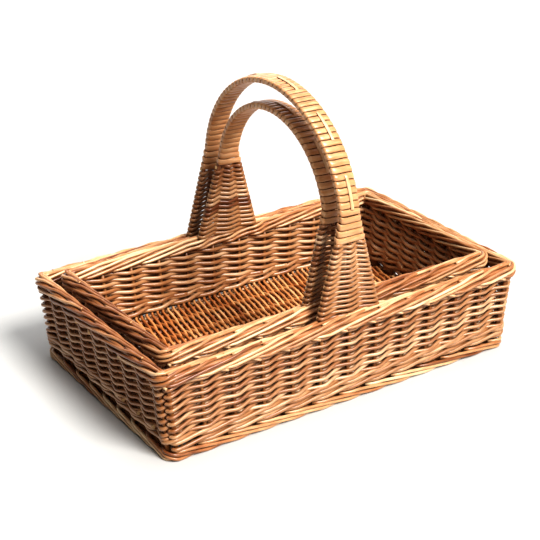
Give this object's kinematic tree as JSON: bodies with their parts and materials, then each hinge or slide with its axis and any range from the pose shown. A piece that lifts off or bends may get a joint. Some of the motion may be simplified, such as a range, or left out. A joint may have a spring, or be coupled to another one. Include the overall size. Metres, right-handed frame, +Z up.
{
  "type": "garden basket",
  "caption": "Oblong woven willow basket with a bow handle, holding a smaller one of the same form that lifts up inside it until the bows meet.",
  "frame": {"origin": "on the ground, below the middle of the large rim", "axes": "+X along the long sides to the right, +Y to the back, +Z up; the bows stand in the plane X = 0"},
  "size_m": [0.52, 0.315, 0.3597],
  "materials": {
    "weave": "satin",
    "stakes": "satin",
    "border": "satin",
    "wrapping": "satin",
    "leader": "satin"
  },
  "bodies": {
    "large_basket": {"large_floor_sticks": "stakes", "large_floor_weave": "weave", "large_foot": "border", "large_foot_strands": "border", "large_stakes": "stakes", "large_corner_posts": "stakes", "large_wale": "weave", "large_front_weave": "weave", "large_right_weave": "weave", "large_back_weave": "weave", "large_left_weave": "weave", "large_border_core": "border", "large_border_strands": "border", "large_bow_rods": "stakes", "large_bow_wrapping": "wrapping", "large_bow_leader": "leader", "large_leg_ribs": "stakes", "large_front_leg_weave": "weave", "large_back_leg_weave": "weave"},
    "small_basket": {"small_floor_sticks": "stakes", "small_floor_weave": "weave", "small_foot": "border", "small_foot_strands": "border", "small_stakes": "stakes", "small_corner_posts": "stakes", "small_wale": "weave", "small_front_weave": "weave", "small_right_weave": "weave", "small_back_weave": "weave", "small_left_weave": "weave", "small_border_core": "border", "small_border_strands": "border", "small_bow_rods": "stakes", "small_bow_wrapping": "wrapping", "small_bow_leader": "leader", "small_leg_ribs": "stakes", "small_front_leg_weave": "weave", "small_back_leg_weave": "weave"}
  },
  "joints": [
    {"name": "small_basket_lift", "type": "slide", "parent": "large_basket", "child": "small_basket", "axis": [0, 0, 1], "range_m": [0, 0.0215]}
  ]
}
